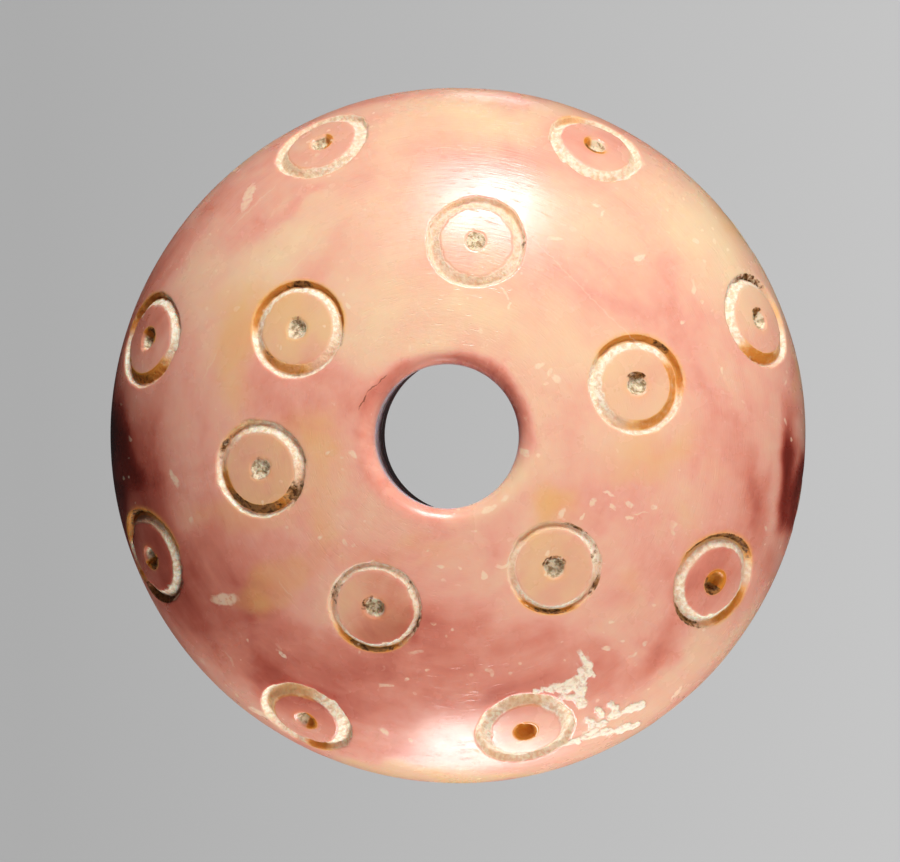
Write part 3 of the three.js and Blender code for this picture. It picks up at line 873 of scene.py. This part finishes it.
# turning lines round the axis, sparse hand scratches, and crumbs in the cuts
turn = add(tree, "ShaderNodeVectorMath", where, (1.0, 1.0, 0.0), operation="MULTIPLY")
turn = add(tree, "ShaderNodeVectorMath", turn, operation="NORMALIZE")
feeds = add(tree, "ShaderNodeCombineXYZ", 0.0, 0.0, times(tree, length, 8000.0))
lathe = add(tree, "ShaderNodeVectorMath", turn, (8.0, 8.0, 0.0), feeds, operation="MULTIPLY_ADD")
turned = clouds(tree, lathe, 1.0, 2.0, 0.7)
scored = ramp(tree, turned, 0.60, 0.72)
grain = plus(tree, times(tree, turned, 1.3), times(tree, scored, -1.0))
grain = plus(tree, grain, times(tree, mottle, 0.25))
grain = plus(tree, grain, times(tree, times(tree, cut_or_crust, crumb), 9.0))
bump = tree.nodes.new("ShaderNodeBump")
bump.inputs["Strength"].default_value = 0.5
bump.inputs["Distance"].default_value = 0.000014
feed(tree, bump.inputs["Height"], grain)
feed(tree, shade.inputs["Normal"], bump.outputs[0])

shade.subsurface_method = "RANDOM_WALK"
shade.inputs["Subsurface Weight"].default_value = 0.5
shade.inputs["Subsurface Radius"].default_value = (1.0, 0.38, 0.22)
shade.inputs["Subsurface Scale"].default_value = 0.0006
shade.inputs["IOR"].default_value = 1.54
shade.inputs["Specular IOR Level"].default_value = 0.42


# ---- The whorl, cut and finished ----
# One piece of bone, turned, cut and polished: the blank goes through the cutting and takes its finish.
work = bpy.data.objects.new("whorl_blank", blank)
bpy.context.scene.collection.objects.link(work)
tooling = work.modifiers.new("tooling", "NODES")
tooling.node_group = cutting
cut_settings["Finish"] = bone
for item in cutting.interface.items_tree:
    if item.in_out == "INPUT" and item.name in cut_settings:
        tooling[item.identifier] = cut_settings[item.name]
scene_now = bpy.context.evaluated_depsgraph_get()
cut_mesh = bpy.data.meshes.new_from_object(work.evaluated_get(scene_now), depsgraph=scene_now)
cut_mesh.name = "carved_whorl"
bpy.data.objects.remove(work)
whorl = bpy.data.objects.new("carved_whorl", cut_mesh)
bpy.context.scene.collection.objects.link(whorl)
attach(whorl, "root")
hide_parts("whorl")


# ---- The floor and the studio light ----
# A plain pale grey floor lies well under the whorl and glows with a painted light of its own, darker towards
# -X, whatever the lamps do. A soft box stands over the far side, two white boards low on the near side, a
# small lamp low on the far side, and a broad weak light, left out of reflections, fills in from the near
# right.
floor_level = -0.2
floor_mesh = bpy.data.meshes.new("floor")
floor_corners = [(x, y, floor_level) for x, y in ((-3, -3), (3, -3), (3, 3), (-3, 3))]
floor_mesh.from_pydata(floor_corners, [], [(0, 1, 2, 3)])
floor = bpy.data.objects.new("floor", floor_mesh)
paint = bpy.data.materials.new("pale_grey")
paint.use_nodes = True
floor_shade = paint.node_tree.nodes["Principled BSDF"]
floor_shade.inputs["Base Color"].default_value = (0.16, 0.16, 0.16, 1)
floor_shade.inputs["Roughness"].default_value = 0.9
floor_x = add(paint.node_tree, "ShaderNodeSeparateXYZ", add(paint.node_tree, "ShaderNodeTexCoord", out=3))
# its glow is painted light, darker towards -X than towards +X
floor_glow = ramp(paint.node_tree, floor_x, -0.045, 0.045, 0.24, 0.42, "LINEAR")
feed(paint.node_tree, floor_shade.inputs["Emission Color"], floor_glow)
floor_shade.inputs["Emission Strength"].default_value = 1.0
paint.cycles.emission_sampling = "NONE"
floor_mesh.materials.append(paint)
bpy.context.scene.collection.objects.link(floor)
floor.visible_diffuse = floor.visible_glossy = False


def soft_light(name, side, height, away, wide, tall, watts, aim=(0, 0, 0.008), shines=True):
    """A flat soft light at an angle round the axis from +X and one over the horizon, turned to its aim."""
    lamp = bpy.data.lights.new(name, "AREA")
    lamp.shape, lamp.size, lamp.size_y, lamp.energy = "RECTANGLE", wide, tall, watts
    holder = bpy.data.objects.new(name, lamp)
    a, e = math.radians(side), math.radians(height)
    toward = Vector((math.cos(a) * math.cos(e), math.sin(a) * math.cos(e), math.sin(e)))
    holder.location = Vector(aim) + toward * away
    holder.rotation_euler = toward.to_track_quat("Z", "Y").to_euler()
    holder.visible_glossy = shines
    holder.visible_camera = False
    bpy.context.scene.collection.objects.link(holder)


soft_light("soft_box", 84, 32, 0.40, 0.13, 0.16, 1.95)
soft_light("near_board", 272, -20, 0.35, 0.16, 0.14, 0.55)
soft_light("near_strip", 269, -1, 0.30, 0.07, 0.10, 0.44)
soft_light("far_glint", 88, -46, 0.30, 0.05, 0.03, 0.03)
soft_light("fill", 312, 45, 0.50, 0.36, 0.36, 1.75, shines=False)

world = bpy.data.worlds.new("studio")
bpy.context.scene.world = world
world.use_nodes = True
# the room is dim where it lights the bone, and pale grey where it is seen past the floor
room = world.node_tree.nodes["Background"]
room.inputs[0].default_value = (0.55, 0.55, 0.55, 1)
seen = world.node_tree.nodes.new("ShaderNodeLightPath").outputs["Is Camera Ray"]
feed(world.node_tree, room.inputs[1], ramp(world.node_tree, seen, 0.0, 1.0, 0.05, 0.85, "LINEAR"))
bpy.context.scene.view_settings.view_transform = "Standard"

bpy.context.view_layer.update()
